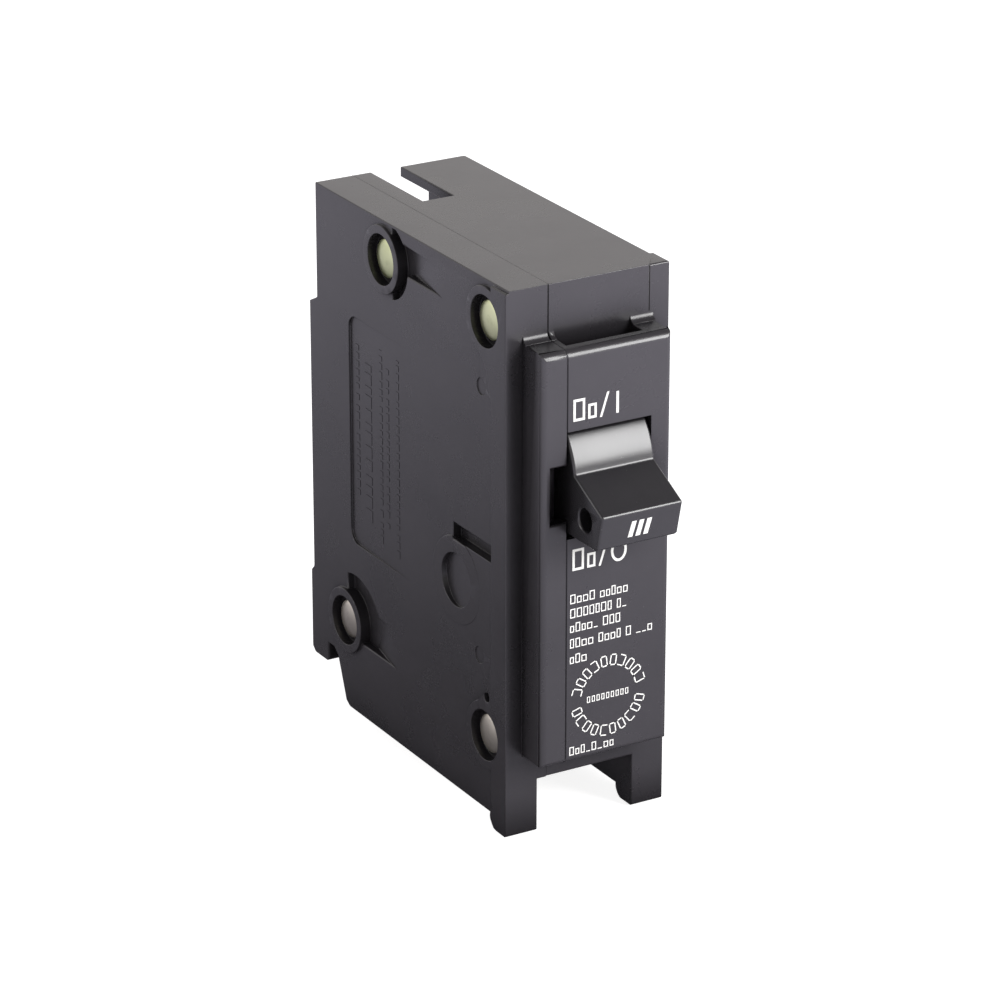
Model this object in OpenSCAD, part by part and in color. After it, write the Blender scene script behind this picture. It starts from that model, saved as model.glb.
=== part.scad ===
// Single-pole plug-on circuit breaker for a panelboard, one-inch pole pitch.
// Built as a two-part moulded case with its switching, tripping and terminal
// pieces, each a separate solid, drawn in the off position.
// Width along X, front towards -Y, +Z up. Units: millimetres.
// Origin: on the flat rear seating face of the case, near its centre.

/* [Case] */
// Overall width across the raised rivet pads
case_w = 25.4; // [25.2:0.1:26]
// How far pads and edge strips stand proud of the side panels
pad_h = 0.5; // [0.3:0.05:0.6]
// Depth of the sunk label panel on the sides
label_depth = 0.35; // [0.2:0.05:0.45]
// Case side wall thickness behind the panels
side_wall = 2.2; // [1.9:0.1:2.4]

/* [Rivets] */
// Diameter of the rivet heads
rivet_head_d = 5.6; // [5:0.1:6.2]
// Diameter of the rivet shanks
rivet_shank_d = 3; // [2.6:0.1:3.2]

/* [Handle] */
// Length of the lever from the pivot axis to the tip face
lever_len = 18.2; // [16.5:0.1:19.5]
// Half thickness of the lever at its tip
lever_tip = 2.85; // [2.4:0.05:3.2]
// Diameter of the tie-bar hole through the lever
tie_hole_d = 3.2; // [2.4:0.1:3.6]
// Angle of the lever below horizontal in the off position
off_deg = 13.5; // [12.5:0.5:13.5]

/* [Terminal] */
// Width of the driver slot in the terminal screw
drive_slot_w = 1.2; // [0.8:0.1:1.6]
// Diameter of the terminal screw head
screw_head_d = 5.8; // [5:0.1:6]

/* [Bus stab] */
// Width of the slot in the top of the case for the bus stab
stab_slot_w = 4.75; // [4.4:0.05:5]
// Free gap between the two jaw fingers
jaw_gap = 2.2; // [1.8:0.1:2.4]

/* [View] */
// Which piece to draw

/* [Hidden] */
$fn = 64;

// Pieces are drawn with Y = 0 on the front shoulder and Z = 0 at the foot, then moved here.
origin_shift = [0, -56.2, -40];

half_w = case_w/2;
panel_x = half_w - pad_h;       // side panel surface
inner_x = panel_x - side_wall;  // inner face of the side wall
split_x = -6.2;                 // parting plane between cover and base
case_top = 79.4;
nose_x = 10.1;                  // half width of the nose block

// Axes running along X, as [y, z]
rivets = [[34.1,73.8], [5.7,73.6], [46.0,15.4], [5.8,13.3]];
handle_axis = [4.6, 52.4];
cradle_axis = [8.5, 36];
armature_axis = [35.5, 47];

pad_r = 4.9;                    // raised pad round each rivet
rivet_bore_depth = 1.5;
drum_r = 11.4;
trunnion_r = 2.4;
trunnion_x = 11;                // half length of the handle trunnion
fork_r = 8.4;                   // handle axis to the fork hole
pin_x = inner_x + 0.85;         // half length of the cradle and armature pins

terminal_axis = [0, 5.2];       // [x, z] of the terminal screw
calibration_at = [0, 37];       // [x, y] of the calibration screw
contact_at = [0, 30.9];         // [x, y] of the closed contacts
arm_top = 61.4;                 // top of the contact arm when closed
line_strap_z = 63.9;
stab_x = -0.78;                 // centre of the stab slot and jaw

arc_count = 4;
arc_pitch = 2.8;
arc_z = 49.6;                   // underside of the lowest arc plate
arc_t = 1.2;
arc_side_x = 8.0;

charcoal = [0.17,0.165,0.17];
steel = [0.68,0.69,0.71];
copper = [0.80,0.48,0.30];
brass = [0.80,0.66,0.36];
fibre = [0.62,0.30,0.22];

// ---------- helpers ----------
// Extrude a [y, z] outline along X
module extrude_x(x0, x1) {
  translate([x0,0,0]) rotate([90,0,90]) linear_extrude(height=x1-x0) children();
}
// Extrude an [x, y] outline along Z
module extrude_z(z0, z1) {
  translate([0,0,z0]) linear_extrude(height=z1-z0) children();
}
// Cylinders between two stations on an axis; "at" holds the other two coordinates
module rod_x(at, x0, x1, r) {
  translate([x0,at[0],at[1]]) rotate([0,90,0]) cylinder(h=x1-x0, r=r);
}
module rod_y(at, y0, y1, r) {
  translate([at[0],y0,at[1]]) rotate([-90,0,0]) cylinder(h=y1-y0, r=r);
}
module rod_z(at, z0, z1, r) {
  translate([at[0],at[1],z0]) cylinder(h=z1-z0, r=r);
}
// Box from [low, high] ranges
module box(x, y, z) {
  translate([x[0],y[0],z[0]]) cube([x[1]-x[0], y[1]-y[0], z[1]-z[0]]);
}
// Box centred on X = 0
module mid_box(half_x, y, z) { box([-half_x,half_x], y, z); }
// Mirror to the left for side -1
module on_side(side) { mirror([side>0?0:1,0,0]) children(); }

// ---------- case ----------
module foot_corner() { translate([2.4,1.8]) circle(r=1.8); }

// Side view [y, z]: foot, underside, rear face, top
module case_outline() {
  polygon([
    [0,0], [2.4,0], [2.4,1.8], [45.6,1.8], [46.9,2.6], [49.3,8.9], [50.2,9.6], [51.9,9.6],
    [51.9,6.9], [52.4,6.45], [56,6.45], [57,7.4], [57,19.2], [56.2,20], [56.2,61.1],
    [54,62.2], [54,case_top], [0,case_top]
  ]);
  foot_corner();
}
// Side view [y, z] of the main cavity
module cavity_outline() {
  polygon([
    [2.2,13.9], [28.6,13.9], [28.6,3.8], [44.4,3.8], [46.6,11.9], [53.8,11.9],
    [53.8,60.4], [36,60.4], [36,77.2], [2.2,77.2]
  ]);
}
// Nose block, rounded along its front edges
module nose() {
  intersection() {
    extrude_x(-nose_x, nose_x) union() {
      polygon([[0.5,11.9],[-4.3,11.9],[-5.1,12.7],[-5.1,70.4],[-3.9,71.6],[0.5,71.8]]);
      translate([-3.9,70.4]) circle(r=1.2);
      translate([-4.3,12.7]) circle(r=0.8);
    }
    extrude_z(10, 74) union() {
      polygon([[-nose_x,1],[-nose_x,-4.2],[-9.2,-5.1],[9.2,-5.1],[nose_x,-4.2],[nose_x,1]]);
      for (side=[-1,1]) translate([side*9.2,-4.2]) circle(r=0.9);
    }
  }
}
module body() {
  extrude_x(-panel_x, panel_x) case_outline();
  nose();
  // small fillets where the ledge meets the shoulder, either side of the vent slot
  for (x=[[-nose_x,-5.3],[6.5,nose_x]])
    extrude_x(x[0], x[1])
      polygon([
        [0.1,71.6], [-0.9,71.6], [-0.9,71.8], [-0.55,71.95], [-0.2,72.3], [0,72.8], [0.1,72.8]
      ]);
  // low round boss on the left panel, flush at its front edge
  translate([-panel_x,7.75,33.3]) rotate([0,0,1.2]) rod_x([6.3,0], 0, 0.8, 6.3);
}
// Raised rivet pads and front edge strip between x0 and x1, up to z_top
module raised(x0, x1, z_top) {
  intersection() {
    union() {
      for (p=rivets) rod_x(p, x0, x1, pad_r);
      extrude_x(x0, x1) union() {
        polygon([[0,0],[2.4,0],[2.4,1.8],[4,4],[4,case_top],[0,case_top]]);
        foot_corner();
        // webs that join the front pads to the strip
        polygon([[4,62.5],[5.2,66.8],[7.6,69.2],[5.7,73.6],[4,73.6]]);
        polygon([[4,24.6],[5.2,20.2],[7.6,17.8],[5.8,13.3],[4,13.3]]);
      }
    }
    box([x0-1,x1+1], [0,60], [0,z_top]);
  }
}
// Crescent and ramp sunk in the left side beside a rivet pad.
// area is the [y, z] outline that bounds the crescent; ramp_y lists the ends of
// the cut, rear first, with the start of the slope between them.
module rivet_recess(rivet, centre, r, area, ramp_y, ramp_z) {
  out_x = -half_w-1;
  floor_x = -panel_x+1.2;
  difference() {
    union() {
      extrude_x(out_x, floor_x) intersection() {
        translate(centre) circle(r=r);
        polygon(area);
      }
      extrude_z(ramp_z[0], ramp_z[1])
        polygon([
          [out_x,ramp_y[0]], [floor_x,ramp_y[0]], [floor_x,ramp_y[1]],
          [-panel_x,ramp_y[2]], [out_x,ramp_y[2]]
        ]);
    }
    rod_x(rivet, out_x-1, floor_x+1, pad_r);
  }
}
module left_pockets() {
  out_x = -half_w-1;
  // upper rear, then lower rear
  rivet_recess(rivets[0], [32.8,74.0], 5.5, [[31.6,68],[26,68],[26,79.0],[31.6,79.0]],
    [31,28.6,17.6], [73.3,77.4]);
  rivet_recess(rivets[2], [43.4,15.2], 8, [[45.6,13.3],[38.6,13.3],[36.2,19.0],[38,24],[45.6,24]],
    [41.5,39.5,31], [13.3,19]);
  // shallow tilted round pocket in the boss
  translate([-panel_x-0.06,10.15,33.3]) rotate([0,0,-5.4]) rod_x([3.9,0], -4, 0, 3.9);
  // deep slot and small pits near the front edge
  box([out_x,-panel_x+1.3], [4,15], [39.2,41.5]);
  rod_x([5.1,19.3], out_x, -panel_x+1.0, 0.75);
  for (p=[[7.3,63.8],[7.9,24.4]]) rod_x(p, out_x, -panel_x+0.15, 1.2);
}
// Sunk label panel; its floor ramps out to the panel surface towards the front
module label_cut(side) {
  bottom = 28.3;
  top = 62.7;
  corner_r = 2;
  floor_x = panel_x-label_depth;
  on_side(side) difference() {
    extrude_z(bottom, top)
      polygon([[panel_x+1,44.5],[floor_x,44.5],[floor_x,42],[panel_x,27],[panel_x+1,27]]);
    // round the two rear corners
    for (z=[bottom,top]) difference() {
      box([panel_x-2,panel_x+2], [42.5,45.5], z==bottom ? [z-1,z+2] : [z-2,z+1]);
      rod_x([42.5, z==bottom ? z+corner_r : z-corner_r], panel_x-3, panel_x+3, corner_r);
    }
  }
}
// Main cavity, leaving posts round the rivets and bosses round the pivots
module main_cavity() {
  wall_x = inner_x+1;
  difference() {
    union() {
      extrude_x(-inner_x, inner_x) cavity_outline();
      mid_box(8.3, [-3.2,3], [13.9,69.8]);
    }
    for (p=rivets) rod_x(p, -wall_x, wall_x, 3.9);
    rod_x(handle_axis, 6.95, wall_x, 4.4);
    rod_x(handle_axis, -wall_x, -6.95, 4.4);
    rod_x(cradle_axis, 5.3, wall_x, 2.6);
    rod_x(cradle_axis, -wall_x, 2.9, 2.6);
    rod_x(armature_axis, 6.6, wall_x, 2.2);
    rod_x(armature_axis, -wall_x, -6.6, 2.2);
    // block in front of the armature spring
    box([-2.5,wall_x], [27.2,28.9], [25.5,30.5]);
    // wall between the arc chute and the stab chamber
    mid_box(wall_x, [36,54], [60.2,62.9]);
  }
}
module stab_openings() {
  // chamber open to the rear, slot in the top wall
  mid_box(6, [38,58], [63,77.8]);
  box([stab_x-stab_slot_w/2,stab_x+stab_slot_w/2], [39,58], [70,81]);
  // passage for the line strap
  mid_box(2.6, [35.5,38.5], [63.85,65.3]);
}
module front_openings() {
  // handle drum pocket and window, with a bevel on the left of the window
  rod_x(handle_axis, -6.2, 6.9, drum_r+0.3);
  box([-6.2,6.9], [-6,-3.6], [44.8,60.1]);
  extrude_z(47.3, 55.4)
    polygon([[-8.8,-6],[-8.8,-4.75],[-8.2,-4.1],[-6.1,-2.6],[-6.1,-6]]);
  // vent slot in the ledge over the nose
  box([-5.3,6.5], [-3.1,0], [69,73]);
}
module terminal_openings() {
  // terminal chamber, open in front and underneath
  mid_box(7.6, [-1,2.3], [-1,7.8]);
  mid_box(7.6, [2.2,27], [-1,11]);
  // passage for the load strap
  mid_box(3.2, [22,24], [10.5,14.5]);
  // clearance behind the terminal screw
  rod_y(terminal_axis, 26.9, 31.5, 2.4);
  // calibration screw access
  rod_z(calibration_at, 1, 5, 2.2);
}
module bores() {
  handle_bore_x = trunnion_x+0.05;
  pin_bore_x = inner_x+0.9;
  rod_x(handle_axis, -handle_bore_x, handle_bore_x, trunnion_r+0.05);
  rod_x(cradle_axis, -pin_bore_x, pin_bore_x, 1.5);
  rod_x(armature_axis, -pin_bore_x, pin_bore_x, 1.05);
  // rivet holes and counterbores
  for (p=rivets) {
    rod_x(p, -half_w-1, half_w+1, rivet_shank_d/2+0.03);
    rod_x(p, -half_w-1, -half_w+rivet_bore_depth, 3.65);
    rod_x(p, half_w-rivet_bore_depth, half_w+1, 3.65);
  }
}
// Fine grooves along the parting line and beside the right strip
module front_grooves() {
  split_groove = [split_x-0.09, split_x+0.09];
  box(split_groove, [-1,0.12], [71.8,80]);
  box(split_groove, [-6,-4.98], [10,72.4]);
  box([9.45,9.6], [-1,0.12], [72.9,80]);
}
module whole_case() {
  difference() {
    union() {
      body();
      raised(-half_w, -panel_x+0.3, 79.05);
      raised(panel_x-0.3, half_w, case_top);
    }
    main_cavity();
    stab_openings();
    front_openings();
    terminal_openings();
    bores();
    left_pockets();
    front_grooves();
    for (side=[-1,1]) {
      label_cut(side);
      // groove that locates the top of an arc side plate
      box([side*arc_side_x-0.42,side*arc_side_x+0.42], [37.5,51], [60.1,60.9]);
    }
  }
}
module base() {
  color(charcoal) translate(origin_shift) intersection() {
    whole_case();
    box([split_x,20], [-10,60], [-5,85]);
  }
}
module cover() {
  color(charcoal) translate(origin_shift) intersection() {
    whole_case();
    box([-20,split_x], [-10,60], [-5,85]);
  }
}

// ---------- rivets ----------
// Shank with a domed head at each end, turned about the X axis
module rivet(at) {
  dome_r = 9.0;
  dome_inset = 0.55;
  under_head = half_w-rivet_bore_depth;
  translate([0,at[0],at[1]]) rotate([0,90,0]) rotate_extrude() intersection() {
    union() {
      translate([0,-under_head]) square([rivet_shank_d/2, 2*under_head]);
      // dome circle, trimmed under the head and at the rim
      for (side=[-1,1]) difference() {
        translate([0,side*(half_w-dome_inset-dome_r)]) circle(r=dome_r);
        translate([0,side*(under_head-10)-10]) square([20,20]);
        translate([rivet_head_d/2,-half_w-2]) square([20,30]);
      }
    }
    translate([0,-20]) square([12,40]);
  }
}
module case_rivets() { color(brass) translate(origin_shift) for (p=rivets) rivet(p); }

// ---------- handle ----------
// Drawn with the lever along -Y, then dropped to the off position
module handle() {
  color(charcoal) translate(origin_shift) translate([0,handle_axis[0],handle_axis[1]])
  rotate([off_deg,0,0]) difference() {
    union() {
      // hub, drum sector and lever
      extrude_x(-6.0, 6.6) union() {
        circle(r=4.6);
        intersection() {
          circle(r=drum_r);
          polygon([[4,0],[1,30],[-30,30],[-30,-30],[1,-30]]);
        }
        polygon([
          [-9,4.95], [-9,-4.95], [-lever_len+0.5,-lever_tip], [-lever_len,-lever_tip+0.5],
          [-lever_len,lever_tip-0.25], [-lever_len+0.25,lever_tip]
        ]);
      }
      // rear arm that becomes the fork
      extrude_x(-5.6, 5.6) union() {
        polygon([[0,-3.4],[fork_r,-2.6],[fork_r,2.6],[0,3.4]]);
        translate([fork_r,0]) circle(r=2.6);
      }
      rod_x([0,0], -trunnion_x, trunnion_x, trunnion_r);
    }
    // fork for the contact arm
    mid_box(2.3, [5.2,14], [-5,5]);
    rod_x([fork_r,0], -6, 6, 1.25);
    // closed voids inside the drum, in front of the axis
    for (side=[-1,1]) box([side*4-1.2,side*4+1.2], [-6.5,-5], [-3.2,3.2]);
    rod_x([-14.3,0], -8, 8, tie_hole_d/2);
  }
}

// ---------- contacts ----------
// [y, z] of the arm pivot with the breaker on and off
arm_pivot_on = [12.77, 50.44];
arm_pivot_off = [12.77, 54.36];
arm_swing = 24.2;

// Carries a part drawn closed to the off position
module arm_open() {
  translate([0,arm_pivot_off[0],arm_pivot_off[1]]) rotate([-arm_swing,0,0])
    translate([0,-arm_pivot_on[0],-arm_pivot_on[1]]) children();
}
module contact_arm() {
  color(copper) translate(origin_shift) arm_open() difference() {
    union() {
      extrude_x(-2, 2) union() {
        translate(arm_pivot_on) circle(r=2.2);
        polygon([
          [11.8,52.3], [27.4,arm_top], [33.4,arm_top], [33.4,59.5], [28.2,59.5], [14.2,48.8]
        ]);
      }
      rod_x(arm_pivot_on, -5.2, 5.2, 1.2);
      // wider tip under the contact
      extrude_x(-2.8, 2.8) polygon([[28.4,arm_top],[33.4,arm_top],[33.4,59.8],[28.4,59.8]]);
    }
    rod_x([24,57.4], -3, 3, 0.7);
  }
}
module moving_contact() {
  color(steel) translate(origin_shift) arm_open() rod_z(contact_at, arm_top, 62.6, 2.3);
}
module stationary_contact() {
  color(steel) translate(origin_shift) rod_z(contact_at, 62.66, line_strap_z, 2.4);
}
module line_strap() {
  color(copper) translate(origin_shift) {
    mid_box(2.5, [28.4,39.2], [line_strap_z,65.2]);
    box([-4.2,2.7], [39.2,40.4], [line_strap_z,71.5]);
  }
}
module jaw_fingers() {
  inner = jaw_gap/2;
  color(copper) translate(origin_shift) for (side=[-1,1])
    translate([stab_x,0,0]) on_side(side) extrude_z(64.2, 72.2)
      polygon([
        [inner+0.5,40.4], [inner+1.3,40.4], [inner+0.8,45.5], [inner+0.8,49.6],
        [inner+1.9,52.6], [inner+1.1,52.6], [inner,49.6], [inner,45.5]
      ]);
}
module jaw_clip() {
  color(steel) translate(origin_shift) translate([stab_x,0,0]) difference() {
    mid_box(jaw_gap/2+1.5, [45.8,49.2], [63.3,73]);
    mid_box(jaw_gap/2+0.82, [45,50], [64,74]);
  }
}

// ---------- springs ----------
// Coil drawn as stacked rings rising from Z = 0
module coil(count, radius, wire_r, pitch) {
  for (i=[0:count-1])
    translate([0,0,i*pitch]) rotate_extrude($fn=32) translate([radius,0]) circle(r=wire_r,$fn=16);
}
// Tension spring from the cradle to the contact arm, with a bar and tail at each end
module main_spring() {
  wire = [-0.3,0.3];
  color(steel) translate(origin_shift) translate([0,25.2,42.6]) rotate([11,0,0]) {
    coil(count=15, radius=1.7, wire_r=0.36, pitch=0.66);
    box(wire, wire, [9.3,11.7]);
    box(wire, [-1.9,1.9], [9.2,9.6]);
    box(wire, wire, [-1.8,0.1]);
    box(wire, [-1.9,1.9], [-0.3,0.1]);
  }
}
module armature_spring() {
  color(steel) translate(origin_shift) translate([0,29.2,28]) rotate([-90,0,0])
    coil(count=7, radius=1.4, wire_r=0.26, pitch=0.76);
}

// ---------- trip parts ----------
module cradle() {
  color(steel) translate(origin_shift) difference() {
    union() {
      extrude_x(3.5, 5.0) union() {
        translate(cradle_axis) circle(r=3.2);
        polygon([[7.6,39],[26.5,43.4],[33.0,41.6],[33.0,40],[27.5,39.2],[10.6,33.5]]);
      }
      // peg for the main spring
      rod_x([25.5,39.9], -1.4, 3.6, 0.6);
    }
    rod_x(cradle_axis, 3, 6, 1.55);
  }
}
module cradle_pin() {
  color(steel) translate(origin_shift) rod_x(cradle_axis, -pin_x, pin_x, 1.49);
}
module armature_pin() {
  color(steel) translate(origin_shift) rod_x(armature_axis, -pin_x, pin_x, 1.0);
}
module armature() {
  color(steel) translate(origin_shift) difference() {
    union() {
      mid_box(5.6, [34.9,36.1], [22,46]);
      for (side=[-1,1]) rod_x(armature_axis, side*4.6-1, side*4.6+1, 1.9);
      // lip just below the cradle tip
      box([2.6,5.6], [33.7,35], [38.5,39.9]);
    }
    rod_x(armature_axis, -8, 8, 1.06);
    mid_box(3.4, [33,38], [43,50]);
  }
}
module magnet_yoke() {
  color(steel) translate(origin_shift) difference() {
    mid_box(6.6, [37.4,44], [24,36]);
    mid_box(5.4, [36,42.6], [23,37]);
  }
}
module bimetal() {
  color(brass) translate(origin_shift) union() {
    mid_box(3.6, [40.2,41.4], [13.6,46]);
    mid_box(3.6, [39,41.4], [13.6,16.4]);
  }
}
module load_strap() {
  color(copper) translate(origin_shift) difference() {
    union() {
      mid_box(5.5, [22.3,23.6], [2.2,9.6]);
      mid_box(3, [22.3,23.6], [9.5,15.3]);
      mid_box(3, [23.5,38.9], [14,15.3]);
    }
    rod_y(terminal_axis, 20, 25, 2.15);
  }
}
module calibration_screw() {
  color(brass) translate(origin_shift) difference() {
    union() {
      rod_z(calibration_at, 4.6, 13.9, 1.5);
      rod_z(calibration_at, 2.4, 4.6, 2.0);
    }
    mid_box(3, [36.6,37.4], [2,3.2]);
  }
}
// Braided link from the top of the bimetal forward towards the contact arm
module flexible_shunt() {
  color(copper) translate(origin_shift) extrude_x(-1.5, 1.5)
    polygon([
      [41.42,42], [42.3,42], [42.3,49.5], [41.6,51.2], [40.3,52.4], [38.6,52.9],
      [34.5,53.2], [34.5,52.3], [38.2,52.0], [39.7,51.5], [40.8,50.6], [41.42,49.2]
    ]);
}

// ---------- terminal ----------
module terminal_nut() {
  color(steel) translate(origin_shift) difference() {
    mid_box(3.4, [23.65,26.6], [2.2,8.6]);
    rod_y(terminal_axis, 20, 28, 2.0);
  }
}
module clamp_plate() {
  rear = 17.8;
  color(steel) translate(origin_shift) difference() {
    mid_box(5.6, [16.3,rear], [2.2,9.4]);
    rod_y(terminal_axis, 14, 21, 2.02);
    // upright V grooves in the rear face
    for (side=[-1,1]) translate([side*4.2,rear,0]) rotate([0,0,45])
      translate([-0.25,-0.25,0]) cube([0.5,0.5,12]);
  }
}
module terminal_screw() {
  z = terminal_axis[1];
  color(brass) translate(origin_shift) difference() {
    union() {
      rod_y(terminal_axis, 13.4, 16.28, screw_head_d/2);
      rod_y(terminal_axis, 16.2, 25.6, 1.95);
    }
    mid_box(4, [12.5,14.8], [z-drive_slot_w/2,z+drive_slot_w/2]);
  }
}

// ---------- arc chute ----------
module arc_plates() {
  color(steel) translate(origin_shift) for (i=[0:arc_count-1]) {
    z = arc_z+i*arc_pitch;
    difference() {
      union() {
        mid_box(7.6, [39,50], [z,z+arc_t]);
        // side tabs
        mid_box(7.8, [41.1,46.9], [z,z+arc_t]);
      }
      mid_box(2.4, [38,42.5], [z-0.6,z+1.9]);
    }
  }
}
module arc_side_plates() {
  color(fibre) translate(origin_shift) for (side=[-1,1]) difference() {
    box([side*arc_side_x-0.35,side*arc_side_x+0.35], [38,50.8], [48.2,60.8]);
    // notches for the arc plate tabs
    for (i=[0:arc_count-1]) {
      z = arc_z+i*arc_pitch;
      box([side*7.5-0.32,side*7.5+0.32], [41,47], [z-0.1,z+arc_t+0.1]);
    }
  }
}
// Slotted fibre plate under the vent opening in the ledge
module vent_screen() {
  color(fibre) translate(origin_shift) difference() {
    mid_box(8.25, [-3.1,2], [68.2,69.2]);
    for (i=[-2:2]) box([i*2.4-0.6,i*2.4+0.6], [-2.6,-0.4], [67,70]);
  }
}

base();
cover();
case_rivets();
handle();
contact_arm();
moving_contact();
main_spring();
cradle();
cradle_pin();
armature();
armature_pin();
armature_spring();
magnet_yoke();
bimetal();
load_strap();
calibration_screw();
terminal_nut();
clamp_plate();
terminal_screw();
flexible_shunt();
stationary_contact();
line_strap();
jaw_fingers();
jaw_clip();
arc_plates();
arc_side_plates();
vent_screen();
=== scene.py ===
"""A slim circuit breaker: two-part black case, lever, rivets, inner works and printed marks.

Row frame, metres: x runs across the case, y from the nose (-y) to the back, z up.
Marks are laid out in case millimetres: y = 0 on the front shoulder plane, z = 0 at toe level.
"""

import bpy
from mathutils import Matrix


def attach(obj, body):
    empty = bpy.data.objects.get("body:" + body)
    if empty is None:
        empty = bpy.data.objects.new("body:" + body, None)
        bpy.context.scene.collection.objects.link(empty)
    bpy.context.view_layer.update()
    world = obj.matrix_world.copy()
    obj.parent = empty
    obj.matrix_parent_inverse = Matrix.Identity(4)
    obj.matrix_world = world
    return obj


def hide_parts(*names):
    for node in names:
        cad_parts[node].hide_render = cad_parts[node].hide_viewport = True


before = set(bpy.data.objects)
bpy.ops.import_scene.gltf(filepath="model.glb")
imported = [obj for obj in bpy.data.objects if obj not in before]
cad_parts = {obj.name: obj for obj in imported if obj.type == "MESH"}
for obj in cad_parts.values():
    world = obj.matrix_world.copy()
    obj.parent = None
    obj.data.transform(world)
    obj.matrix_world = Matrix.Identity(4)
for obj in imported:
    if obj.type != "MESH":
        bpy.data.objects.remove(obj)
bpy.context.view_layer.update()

import math
import random

import bmesh
import bpy
from mathutils import Vector
from mathutils.bvhtree import BVHTree

random.seed(7)

MM = 0.001
CASE_ORIGIN = Vector((0.0, -56.2, -40.0))   # case zero in the row frame, mm
PARTING_X = -6.2 * MM                       # plane where base and cover meet
MIDDLE_Y = -0.028                           # the y that the lights and the camera aim at
FLOOR_Z = -0.0402                           # just below the toe


def case_point(x, y, z):
    """A point given in case millimetres, in the row frame."""
    return (Vector((x, y, z)) + CASE_ORIGIN) * MM


def new_object(name, mesh):
    """Turn a bmesh into a linked object and free it."""
    data = bpy.data.meshes.new(name)
    mesh.to_mesh(data)
    mesh.free()
    obj = bpy.data.objects.new(name, data)
    bpy.context.scene.collection.objects.link(obj)
    return obj


# ---------------------------------------------------------------- shader graphs
class Graph:
    """Short ways to add nodes. An input takes either a socket to link or a plain value."""

    def __init__(self, tree):
        self.tree = tree

    def link(self, source, target):
        self.tree.links.new(source, target)

    def fill(self, node, inputs):
        for key, value in inputs.items():
            socket = node.inputs[key]
            if isinstance(value, bpy.types.NodeSocket):
                self.link(value, socket)
            elif socket.type == "RGBA":
                socket.default_value = (*value, 1)
            else:
                socket.default_value = value

    def node(self, kind, inputs=None, **settings):
        node = self.tree.nodes.new(kind)
        for key, value in settings.items():
            setattr(node, key, value)
        self.fill(node, inputs or {})
        return node

    def ramp(self, factor, stops):
        """A colour ramp; each stop is (position, grey or RGB)."""
        node = self.node("ShaderNodeValToRGB", {"Fac": factor})
        elements = node.color_ramp.elements
        while len(elements) < len(stops):
            elements.new(0.5)
        for element, (position, colour) in zip(elements, stops):
            grey = isinstance(colour, (int, float))
            element.position = position
            element.color = (colour, colour, colour, 1) if grey else (*colour, 1)
        return node.outputs["Color"]

    def mix_shaders(self, factor, first, second):
        node = self.node("ShaderNodeMixShader", {0: factor, 1: first, 2: second})
        return node.outputs[0]


class Material(Graph):
    def __init__(self, name):
        self.material = bpy.data.materials.new(name)
        self.material.use_nodes = True
        super().__init__(self.material.node_tree)
        self.shader = self.tree.nodes["Principled BSDF"]
        self.coords = self.node("ShaderNodeTexCoord").outputs["Object"]

    def noise(self, scale, detail, roughness, stretch=None):
        source = self.coords
        if stretch:
            mapping = self.node("ShaderNodeMapping", {"Scale": stretch, "Vector": source})
            source = mapping.outputs["Vector"]
        node = self.node("ShaderNodeTexNoise", {
            "Scale": scale, "Detail": detail, "Roughness": roughness, "Vector": source})
        return node.outputs["Fac"]

    def mask(self, low, high, top=1.0, **noise):
        """Noise that rises from 0 at low to top at high."""
        return self.ramp(self.noise(**noise), [(low, 0.0), (high, top)])

    def mix(self, factor, first, second, blend="MIX"):
        node = self.node("ShaderNodeMix", {0: factor, 6: first, 7: second},
                         data_type="RGBA", blend_type=blend)
        return node.outputs[2]

    def scaled(self, value, factor):
        return self.node("ShaderNodeMath", {0: value, 1: factor}, operation="MULTIPLY").outputs[0]

    def remap(self, value, to_min, to_max, from_min=0.0, from_max=1.0):
        node = self.node("ShaderNodeMapRange", {
            "Value": value, "From Min": from_min, "From Max": from_max,
            "To Min": to_min, "To Max": to_max})
        return node.outputs["Result"]

    def bump(self, distance, layers):
        """Chained bumps; each layer is (height, strength)."""
        normal = None
        for height, strength in layers:
            node = self.node("ShaderNodeBump", {
                "Strength": strength, "Distance": distance, "Height": height})
            if normal is not None:
                self.link(normal, node.inputs["Normal"])
            normal = node.outputs["Normal"]
        self.link(normal, self.shader.inputs["Normal"])

    def add_shaders(self, first, second):
        return self.node("ShaderNodeAddShader", {0: first, 1: second}).outputs[0]

    def emission(self, colour, strength):
        node = self.node("ShaderNodeEmission", {"Color": colour, "Strength": strength})
        return node.outputs[0]


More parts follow.
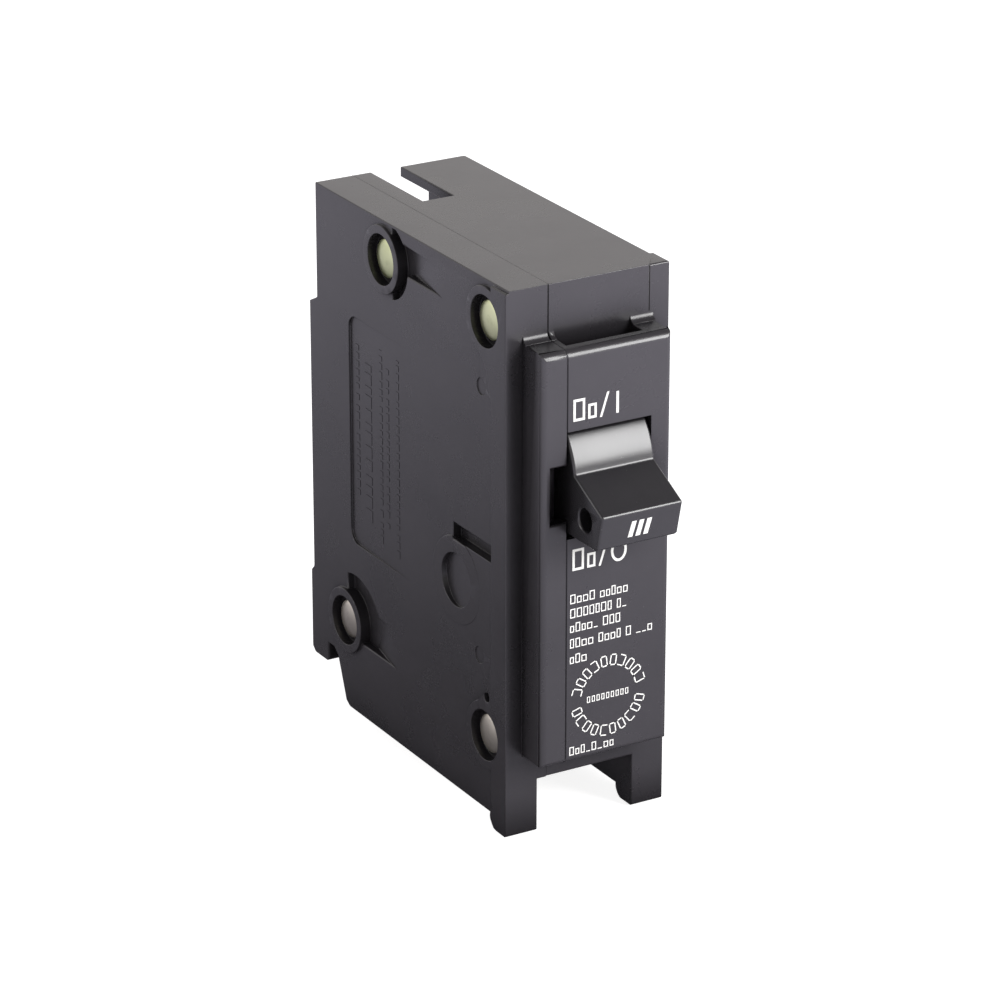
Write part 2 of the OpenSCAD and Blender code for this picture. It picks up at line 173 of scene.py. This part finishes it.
# ---------------------------------------------------------------- materials
def plastic(name, base, tint, roughness, sheen):
    """Moulded plastic: cloudy colour, flow streaks, pale specks, painted shade in pockets."""
    mat = Material(name)
    clouds = mat.mask(low=0.32, high=0.7, scale=38.0, detail=5.0, roughness=0.6)
    colour = mat.mix(clouds, base, tint)
    streaks = mat.mask(low=0.35, high=0.75, scale=120.0, detail=3.0, roughness=0.5,
                       stretch=(1.0, 0.25, 1.0))
    colour = mat.mix(mat.scaled(streaks, factor=0.35), colour, tuple(c * 1.18 for c in tint))
    specks = mat.mask(low=0.745, high=0.79, scale=2600.0, detail=2.0, roughness=0.5)
    colour = mat.mix(mat.scaled(specks, factor=0.16), colour, (0.30, 0.30, 0.30))
    # painted shade: inside corners and pockets hold less light, so the colour is darkened and the
    # sheen weakened there
    pockets = mat.node("ShaderNodeAmbientOcclusion", {"Distance": 0.0065}, samples=8)
    shade = mat.ramp(pockets.outputs["AO"], [(0.45, 0.42), (0.97, 1.0)])
    wear = mat.noise(scale=70.0, detail=6.0, roughness=0.65)
    mat.fill(mat.shader, {
        "Base Color": mat.mix(1.0, colour, shade, blend="MULTIPLY"),
        "Specular IOR Level": mat.scaled(shade, factor=sheen),
        "Roughness": mat.remap(wear, to_min=roughness - 0.05, to_max=roughness + 0.07),
    })
    waves = mat.noise(scale=55.0, detail=2.0, roughness=0.4)
    grain = mat.noise(scale=700.0, detail=2.0, roughness=0.5)
    mat.bump(distance=0.00006, layers=[(waves, 0.30), (grain, 0.018)])
    return mat.material


def metal(name, base, dark, roughness, stretch=(1, 1, 1)):
    """Dull metal: blotched and spotted colour; stretch draws its grain out along an axis."""
    mat = Material(name)
    blotches = mat.mask(low=0.35, high=0.7, scale=60.0, detail=5.0, roughness=0.6)
    colour = mat.mix(blotches, base, dark)
    spots = mat.mask(low=0.55, high=0.75, top=0.7, scale=420.0, detail=4.0, roughness=0.6)
    wear = mat.noise(scale=150.0, detail=5.0, roughness=0.6)
    mat.fill(mat.shader, {
        "Base Color": mat.mix(spots, colour, tuple(c * 0.75 for c in dark)),
        "Metallic": 1.0,
        "Roughness": mat.remap(wear, to_min=roughness - 0.08, to_max=roughness + 0.12),
    })
    grain = mat.noise(scale=700.0, detail=3.0, roughness=0.6, stretch=stretch)
    waves = mat.noise(scale=90.0, detail=2.0, roughness=0.5)
    mat.bump(distance=0.00004, layers=[(grain, 0.25), (waves, 0.2)])
    return mat.material


MATERIALS = {
    "case": plastic("case_plastic", base=(0.021, 0.0195, 0.0225), tint=(0.028, 0.026, 0.030),
                    roughness=0.27, sheen=0.5),
    "handle": plastic("handle_plastic", base=(0.018, 0.017, 0.0195), tint=(0.023, 0.022, 0.025),
                      roughness=0.22, sheen=0.5),
    "rivet_green": metal("rivet_green", base=(0.64, 0.66, 0.42), dark=(0.52, 0.57, 0.30),
                         roughness=0.33),
    "rivet_cream": metal("rivet_cream", base=(0.68, 0.64, 0.56), dark=(0.56, 0.52, 0.45),
                         roughness=0.38),
    "steel": metal("zinc_steel", base=(0.62, 0.63, 0.65), dark=(0.50, 0.51, 0.53),
                   roughness=0.34, stretch=(1, 1, 6)),
    "copper": metal("copper_strip", base=(0.80, 0.45, 0.28), dark=(0.66, 0.34, 0.20),
                    roughness=0.33, stretch=(1, 6, 1)),
    "silver": metal("silver_contact", base=(0.82, 0.82, 0.80), dark=(0.70, 0.70, 0.68),
                    roughness=0.28),
    "brass": metal("brass_part", base=(0.82, 0.64, 0.32), dark=(0.68, 0.50, 0.24),
                   roughness=0.30),
    "fibre": plastic("red_fibre", base=(0.34, 0.12, 0.075), tint=(0.42, 0.16, 0.10),
                     roughness=0.62, sheen=0.25),
    "ink": plastic("white_ink", base=(0.80, 0.80, 0.79), tint=(0.70, 0.70, 0.69),
                   roughness=0.5, sheen=0.3),
}


def paint(obj, *keys):
    obj.data.materials.clear()
    for key in keys:
        obj.data.materials.append(MATERIALS[key])


# ---------------------------------------------------------------- rounded copies of the CAD solids
WELD = 2e-6                         # CAD vertices closer than this are one
FLAT_FOLD = math.radians(4.5)       # gentler folds are left alone
ROUNDED_FOLD = math.radians(28.0)   # sharper folds are rounded
BROAD = 2.5 * MM                    # faces wider than this keep a shallow fold crisp
SHORT = 2.5 * MM                    # edges under this get only a small radius
SHORT_RADIUS = 0.10                 # mm
FACE_SHARE = 0.38                   # most of a face's width that rounding may take
PARTING_WEIGHT = 0.25               # leaves a hairline where base and cover meet
STRAY_SHARE = 0.45                  # of the radius; points further off the solid are pulled back


def clean_solid(name):
    """The CAD solid with its triangles joined into clean faces, and a tree of its surface."""
    mesh = bmesh.new()
    mesh.from_mesh(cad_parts[name].data)
    bmesh.ops.remove_doubles(mesh, verts=mesh.verts, dist=WELD)
    bmesh.ops.dissolve_degenerate(mesh, dist=1e-6, edges=mesh.edges)
    surface = BVHTree.FromBMesh(mesh)
    bmesh.ops.dissolve_limit(mesh, angle_limit=math.radians(0.35),
                             verts=mesh.verts, edges=mesh.edges)
    bmesh.ops.connect_verts_concave(mesh, faces=mesh.faces)
    for face in mesh.faces:
        face.smooth = True
        face.material_index = 0
    for edge in mesh.edges:
        edge.smooth = True
    return mesh, surface


def face_width(face, start, axis):
    """How far a face reaches from the line of one of its edges."""
    offsets = [vert.co - start for vert in face.verts]
    return max((offset - axis * offset.dot(axis)).length for offset in offsets)


def weigh_edges(mesh, name, radius):
    """Full rounding on open edges, less beside narrow faces, a hairline at the parting plane."""
    weights = mesh.edges.layers.float.new("bevel_weight_edge")
    for edge in mesh.edges:
        if len(edge.link_faces) != 2 or edge.calc_face_angle(0) < FLAT_FOLD:
            continue
        start, end = edge.verts[0].co, edge.verts[1].co
        axis = end - start
        length = axis.length
        if length < 1e-7:
            continue
        axis.normalize()
        narrowest = min(face_width(face, start, axis) for face in edge.link_faces)
        if edge.calc_face_angle(0) < ROUNDED_FOLD:
            # shallow folds between two broad flats stay crisp, curved walls stay smooth
            if narrowest > BROAD:
                edge.smooth = False
            continue
        weight = min(1.0, FACE_SHARE * narrowest / (radius * MM))
        if length < SHORT and name != "handle":
            weight = min(weight, SHORT_RADIUS / radius)
        at_parting = abs(start.x - PARTING_X) < 1e-5 and abs(end.x - PARTING_X) < 1e-5
        if name in ("base", "cover") and at_parting:
            weight = min(weight, PARTING_WEIGHT)
        edge[weights] = weight


def bake_rounding(obj, surface, radius, segments):
    """Apply the bevel, then pull back any corner point it threw off the solid."""
    bevel = obj.modifiers.new("round_edges", "BEVEL")
    bevel.width = radius * MM
    bevel.segments = segments
    bevel.limit_method = "WEIGHT"
    bevel.use_clamp_overlap = False
    bevel.harden_normals = False
    bevel.miter_outer = "MITER_SHARP"
    depsgraph = bpy.context.evaluated_depsgraph_get()
    baked = bpy.data.meshes.new_from_object(obj.evaluated_get(depsgraph))
    obj.modifiers.clear()
    for vert in baked.vertices:
        nearest, _, _, distance = surface.find_nearest(vert.co)
        if distance > STRAY_SHARE * radius * MM:
            vert.co = nearest
    baked.update()
    obj.data = baked


def refine(name, body, keys, radius, segments=2):
    """A clean copy of a CAD solid with its edges rounded over; radius in mm."""
    mesh, surface = clean_solid(name)
    weigh_edges(mesh, name, radius)
    obj = new_object(name + "_shell", mesh)
    attributes = obj.data.attributes
    for stale in ("custom_normal", "sharp_face"):
        if stale in attributes:
            attributes.remove(attributes[stale])
    bake_rounding(obj, surface, radius, segments)
    shading = obj.modifiers.new("even_shading", "WEIGHTED_NORMAL")
    shading.keep_sharp = True
    shading.weight = 60
    paint(obj, *keys)
    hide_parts(name)
    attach(obj, body)
    return obj


refine("base", "frame", ["case"], radius=0.30)
refine("cover", "frame", ["case"], radius=0.30)
refine("handle", "handle", ["handle"], radius=0.36, segments=3)
rivets = refine("case_rivets", "frame", ["rivet_green", "rivet_cream"], radius=0.12)
# upper rivets are green, lower ones cream
for face in rivets.data.polygons:
    face.material_index = 0 if face.center.z > 0 else 1

# ---------------------------------------------------------------- inner parts
INNER_PARTS = {
    "contact_arm": "copper", "moving_contact": "silver", "stationary_contact": "silver",
    "main_spring": "steel", "cradle": "steel", "cradle_pin": "steel", "armature": "steel",
    "armature_pin": "steel", "armature_spring": "steel", "magnet_yoke": "steel",
    "bimetal": "brass", "load_strap": "copper", "calibration_screw": "brass",
    "terminal_nut": "steel", "clamp_plate": "steel", "terminal_screw": "brass",
    "flexible_shunt": "copper", "line_strap": "copper", "jaw_fingers": "copper",
    "jaw_clip": "steel", "arc_plates": "steel", "arc_side_plates": "fibre",
    "vent_screen": "fibre",
}


def finish_inner(name, key):
    """Paint a CAD part in place and, unless it is a spring, soften its edges."""
    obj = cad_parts[name]
    paint(obj, key)
    obj.modifiers.new("join", "WELD").merge_threshold = WELD
    if name not in ("main_spring", "armature_spring"):
        bevel = obj.modifiers.new("edge", "BEVEL")
        bevel.width = 0.08 * MM
        bevel.segments = 2
        bevel.limit_method = "ANGLE"
        bevel.angle_limit = math.radians(35)


for part, key in INNER_PARTS.items():
    finish_inner(part, key)


# ---------------------------------------------------------------- marks
def marks(name, body, key, build):
    mesh = bmesh.new()
    build(mesh)
    bmesh.ops.recalc_face_normals(mesh, faces=mesh.faces)
    obj = new_object(name, mesh)
    paint(obj, key)
    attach(obj, body)


def prism(mesh, outline, depth):
    """A thin mark: its outline as row-frame points, carried along the vector depth."""
    near = [mesh.verts.new(point) for point in outline]
    far = [mesh.verts.new(point + depth) for point in outline]
    mesh.faces.new(near)
    mesh.faces.new(far[::-1])
    for i in range(len(outline)):
        j = (i + 1) % len(outline)
        mesh.faces.new((near[i], far[i], far[j], near[j]))


# White marks on the nose face; all sizes in case millimetres.
MARK_LIFT = 0.02     # how far ink stands off its face
MARK_DEPTH = 0.05    # ink thickness, reaching back into the face
NOSE_INK_Y = -5.1 - MARK_LIFT
NOSE_DEPTH = Vector((0, MARK_DEPTH * MM, 0))

# rows of small blank boxes: centre height z, boxes in each group, box height
NOSE_ROWS = [
    (36.0, [4, 5], 1.35), (33.9, [7, 2], 1.35), (31.8, [5, 3], 1.35),
    (29.5, [4, 4, 1, 3], 1.35), (27.2, [3], 1.35), (13.5, [8], 1.25),
]
ROW_START_X = -5.6
ROW_STROKE = 0.14
BOX_GAP, GROUP_GAP = 0.24, 0.6

BAND_X, BAND_Z = 0.55, 20.6          # centre of the round band
BAND_PLACES, BAND_GAPS = 22, (0, 11)
BAND_INNER, BAND_OUTER = 4.35, 6.0   # radii
BAND_HALF, BAND_STROKE = 0.52, 0.17  # half width and line width of its boxes


def nose_bar(mesh, x0, x1, z0, z1, shear=0.0):
    """A filled bar whose top is shifted sideways by shear."""
    corners = ((x0, z0), (x1, z0), (x1 + shear, z1), (x0 + shear, z1))
    prism(mesh, [case_point(x, NOSE_INK_Y, z) for x, z in corners], NOSE_DEPTH)


def nose_box(mesh, x0, x1, z0, z1, stroke):
    """The outline of a small rectangle."""
    nose_bar(mesh, x0, x1, z0, z0 + stroke)
    nose_bar(mesh, x0, x1, z1 - stroke, z1)
    nose_bar(mesh, x0, x0 + stroke, z0 + stroke, z1 - stroke)
    nose_bar(mesh, x1 - stroke, x1, z0 + stroke, z1 - stroke)


def nose_ring(mesh, centre_x, centre_z, radius_x, radius_z, stroke, count=40):
    def loop(inset):
        angles = [math.radians(360.0 * i / count) for i in range(count)]
        return [case_point(centre_x + (radius_x - inset) * math.cos(angle), NOSE_INK_Y,
                           centre_z + (radius_z - inset) * math.sin(angle)) for angle in angles]

    outer, inner = loop(0.0), loop(stroke)
    for i in range(count):
        j = (i + 1) % count
        prism(mesh, [outer[i], outer[j], inner[j], inner[i]], NOSE_DEPTH)


def large_marks(mesh):
    """Two lines of two boxes and a slanted stroke, ending in a bar above and a ring below."""
    for z, last in ((61.5, "bar"), (40.1, "ring")):
        nose_box(mesh, -5.3, -3.5, z, z + 3.1, stroke=0.36)
        nose_box(mesh, -3.0, -1.7, z, z + 2.1, stroke=0.34)
        nose_bar(mesh, -1.2, -0.85, z - 0.1, z + 3.3, shear=1.1)
        if last == "bar":
            nose_bar(mesh, 1.35, 1.75, z, z + 3.1)
        else:
            nose_ring(mesh, 2.0, z + 1.55, radius_x=1.25, radius_z=1.6, stroke=0.38)


def box_rows(mesh):
    """Rows that mix tall boxes, short boxes and low dashes."""
    rng = random.Random(5)
    for z, groups, height in NOSE_ROWS:
        x = ROW_START_X
        bottom = z - height / 2
        for group in groups:
            for _ in range(group):
                width = rng.choice((0.62, 0.72, 0.80))
                kind = rng.random()
                if kind < 0.5:
                    nose_box(mesh, x, x + width, bottom, z + height / 2, ROW_STROKE)
                elif kind < 0.88:
                    nose_box(mesh, x, x + width, bottom, z + height * 0.22, ROW_STROKE)
                else:
                    nose_bar(mesh, x, x + width, bottom, bottom + ROW_STROKE)
                x += width + BOX_GAP
            x += GROUP_GAP


def round_band(mesh):
    """A ring of small boxes, every third open on one side, around a short row of boxes."""
    half, stroke = BAND_HALF, BAND_STROKE
    # strokes of one box: side from, side to, radius from, radius to
    closing = (half - stroke, half, BAND_INNER, BAND_OUTER)
    strokes = (
        (-half, -half + stroke, BAND_INNER, BAND_OUTER),
        closing,
        (-half, half, BAND_INNER, BAND_INNER + stroke),
        (-half, half, BAND_OUTER - stroke, BAND_OUTER),
    )
    for i in range(BAND_PLACES):
        if i in BAND_GAPS:
            continue
        angle = 2 * math.pi * i / BAND_PLACES
        cos, sin = math.cos(angle), math.sin(angle)
        for line in strokes:
            if i % 3 == 1 and line is closing:
                continue
            a, b, near, far = line
            corners = ((near, a), (far, a), (far, b), (near, b))
            prism(mesh, [case_point(BAND_X + radius * cos - side * sin, NOSE_INK_Y,
                                    BAND_Z + radius * sin + side * cos)
                         for radius, side in corners], NOSE_DEPTH)
    x = BAND_X - 3.4
    for _ in range(9):
        nose_box(mesh, x, x + 0.5, BAND_Z - 0.45, BAND_Z + 0.45, stroke=0.12)
        x += 0.76


def build_nose(mesh):
    large_marks(mesh)
    box_rows(mesh)
    round_band(mesh)


marks("nose_marks", "frame", "ink", build_nose)

# Raised rules in the sunk panel of the -x side: centre y, height across the row, z from, z to
PANEL_ROWS = [
    (42.6, 0.9, 36, 59), (39.4, 1.9, 33, 57), (35.6, 0.8, 31, 60),
    (33.6, 0.8, 34, 58), (30.6, 0.8, 30.5, 60),
]
SIDE_X = -12.2
PANEL_SINK = 0.35                        # full depth of the panel
PANEL_RISE_Y, PANEL_DEEP_Y = 27.0, 42.0  # the floor slopes from the surface to full depth
RULE_ROOT = 0.03                         # rules start this far inside the floor
RULE_DEPTH = Vector((-0.08 * MM, 0, 0))


def build_panel(mesh):
    def root_x(y):
        slope = (y - PANEL_RISE_Y) / (PANEL_DEEP_Y - PANEL_RISE_Y)
        return SIDE_X + PANEL_SINK * min(1.0, max(0.0, slope)) + RULE_ROOT

    rng = random.Random(11)
    for y, height, z, z_end in PANEL_ROWS:
        y0, y1 = y - height / 2, y + height / 2
        while z < z_end:
            step = rng.uniform(0.55, 1.1) * (1.6 if height > 1.5 else 1.0)
            end = min(z + step, z_end)
            corners = ((y0, z), (y1, z), (y1, end), (y0, end))
            prism(mesh, [case_point(root_x(cy), cy, cz) for cy, cz in corners], RULE_DEPTH)
            z = end + (0.9 if rng.random() < 0.2 else 0.4)


marks("panel_rules", "frame", "case", build_panel)

# Three slanted bars on the tip face of the lever, drawn square to the lever as it rests
PIVOT_Y, PIVOT_Z = 4.6, 52.4
LEVER_ANGLE = math.radians(-13.5)
LEVER_REACH = 18.2                # pivot to tip face
TIP_BAR_WIDTH, TIP_BAR_HALF = 0.72, 1.25
TIP_BAR_SLANT = 0.13              # sideways shift per unit of height


def tip_point(x, up, out):
    """A point on the lever's tip face: up along the face, out away from it."""
    radius = LEVER_REACH + out
    cos, sin = math.cos(LEVER_ANGLE), math.sin(LEVER_ANGLE)
    return case_point(x, PIVOT_Y - radius * cos + up * sin, PIVOT_Z + radius * sin + up * cos)


def build_tip(mesh):
    depth = tip_point(0, 0, 0) - tip_point(0, 0, MARK_DEPTH)
    low, high = -TIP_BAR_HALF, TIP_BAR_HALF
    for x0 in (-1.3, -0.1, 1.1):
        x1 = x0 + TIP_BAR_WIDTH
        corners = ((x0, low), (x1, low), (x1, high), (x0, high))
        prism(mesh, [tip_point(x + TIP_BAR_SLANT * up, up, MARK_LIFT) for x, up in corners], depth)


marks("lever_marks", "handle", "ink", build_tip)


# ---------------------------------------------------------------- stage
def cool(value):
    """The faintly violet grey of the painted reflection that the sheet throws back onto the side
    walls.
    """
    return (value, value * 0.968, value * 1.115)


def floor_material():
    """A sheet near white when seen directly; in reflections it shows a painted glow that darkens
    towards the foot.
    """
    mat = Material("pale_floor")
    clouds = mat.noise(scale=3.0, detail=4.0, roughness=0.55)
    mat.fill(mat.shader, {
        "Base Color": mat.mix(clouds, (0.90, 0.90, 0.90), (0.93, 0.93, 0.93)),
        "Roughness": 0.9,
        "Specular IOR Level": 0.0,
    })
    rays = mat.node("ShaderNodeLightPath").outputs
    white = mat.emission((1, 1, 1), strength=0.86)
    soft = mat.node("ShaderNodeBsdfDiffuse", {"Color": (0.5, 0.5, 0.5)}).outputs[0]
    seen = mat.add_shaders(white, soft)
    # painted reflection: the glow grows with distance from the foot, with painted shade close to
    # it
    distance = mat.node("ShaderNodeVectorMath", {0: mat.coords, 1: (0, MIDDLE_Y, FLOOR_Z)},
                        operation="DISTANCE").outputs["Value"]
    around = mat.ramp(distance, [(0.02, cool(0.08)), (0.26, cool(0.85))])
    glow = mat.emission(around, strength=1.0)
    # painted reflection: in front, where the nose mirrors the sheet, the glow is stronger
    axes = mat.node("ShaderNodeSeparateXYZ", {0: mat.coords})
    forward = mat.remap(axes.outputs["Y"], to_min=0.0, to_max=1.0, from_min=-0.058, from_max=-0.22)
    ahead = mat.ramp(forward, [(0.0, 0.0), (0.12, cool(0.55)), (1.0, cool(0.96))])
    painted_reflection = mat.add_shaders(glow, mat.emission(ahead, strength=1.15))
    other = mat.mix_shaders(rays["Is Glossy Ray"], mat.shader.outputs[0], painted_reflection)
    surface = mat.mix_shaders(rays["Is Camera Ray"], other, seen)
    mat.link(surface, mat.tree.nodes["Material Output"].inputs["Surface"])
    return mat.material


def build_floor(half=3):
    material = floor_material()
    mesh = bmesh.new()
    corners = ((-half, -half), (half, -half), (half, half), (-half, half))
    mesh.faces.new([mesh.verts.new((x, y, FLOOR_Z)) for x, y in corners])
    bmesh.ops.subdivide_edges(mesh, edges=mesh.edges[:], cuts=6, use_grid_fill=True)
    floor = new_object("floor", mesh)
    floor.data.materials.append(material)


def build_world():
    """A sky bright at the horizon and dim above; the camera sees plain white."""
    world = bpy.data.worlds.new("studio")
    bpy.context.scene.world = world
    world.use_nodes = True
    graph = Graph(world.node_tree)
    sky = graph.tree.nodes["Background"]
    rays = graph.node("ShaderNodeLightPath")
    white = graph.node("ShaderNodeBackground", {"Color": (1, 1, 1), "Strength": 1.0})
    coords = graph.node("ShaderNodeTexCoord")
    axes = graph.node("ShaderNodeSeparateXYZ", {0: coords.outputs["Generated"]})
    stops = [(height, (level, level * 0.965, level * 0.95))
             for height, level in ((0.45, 1.12), (0.72, 0.25))]
    graph.fill(sky, {"Color": graph.ramp(axes.outputs["Z"], stops), "Strength": 1.0})
    seen = graph.mix_shaders(rays.outputs["Is Camera Ray"], sky.outputs[0], white.outputs[0])
    graph.link(seen, graph.tree.nodes["World Output"].inputs["Surface"])


def place(name, data, location, facing):
    """Link a light or camera that looks along facing."""
    obj = bpy.data.objects.new(name, data)
    bpy.context.scene.collection.objects.link(obj)
    obj.location = location
    obj.rotation_mode = "QUATERNION"
    obj.rotation_quaternion = facing.to_track_quat("-Z", "Y")
    return obj


def softbox(name, location, size, power):
    light = bpy.data.lights.new(name, "AREA")
    light.shape = "RECTANGLE"
    light.size, light.size_y = size
    light.energy = power
    place(name, light, location, Vector((0, MIDDLE_Y, 0)) - Vector(location))


def build_camera():
    """A long lens from the front, on the -x side and above."""
    azimuth, elevation = math.radians(-30.262), math.radians(21.983)
    distance = 0.6397
    target = Vector((0.002912, MIDDLE_Y, -0.002895))
    back = Vector((math.sin(azimuth) * math.cos(elevation),
                   -math.cos(azimuth) * math.cos(elevation), math.sin(elevation)))
    data = bpy.data.cameras.new("camera")
    data.sensor_width = 36.0
    data.lens = 163.458
    data.clip_start = 0.01
    bpy.context.scene.camera = place("camera", data, target + back * distance, -back)


build_floor()
build_world()
softbox("key_box", location=(0.42, -0.70, 0.36), size=(0.34, 0.50), power=8.5)
softbox("rivet_box", location=(-0.75, 0.15, 0.30), size=(0.22, 0.5), power=1.3)
build_camera()
bpy.context.scene.view_settings.view_transform = "Standard"
bpy.context.scene.view_settings.look = "None"
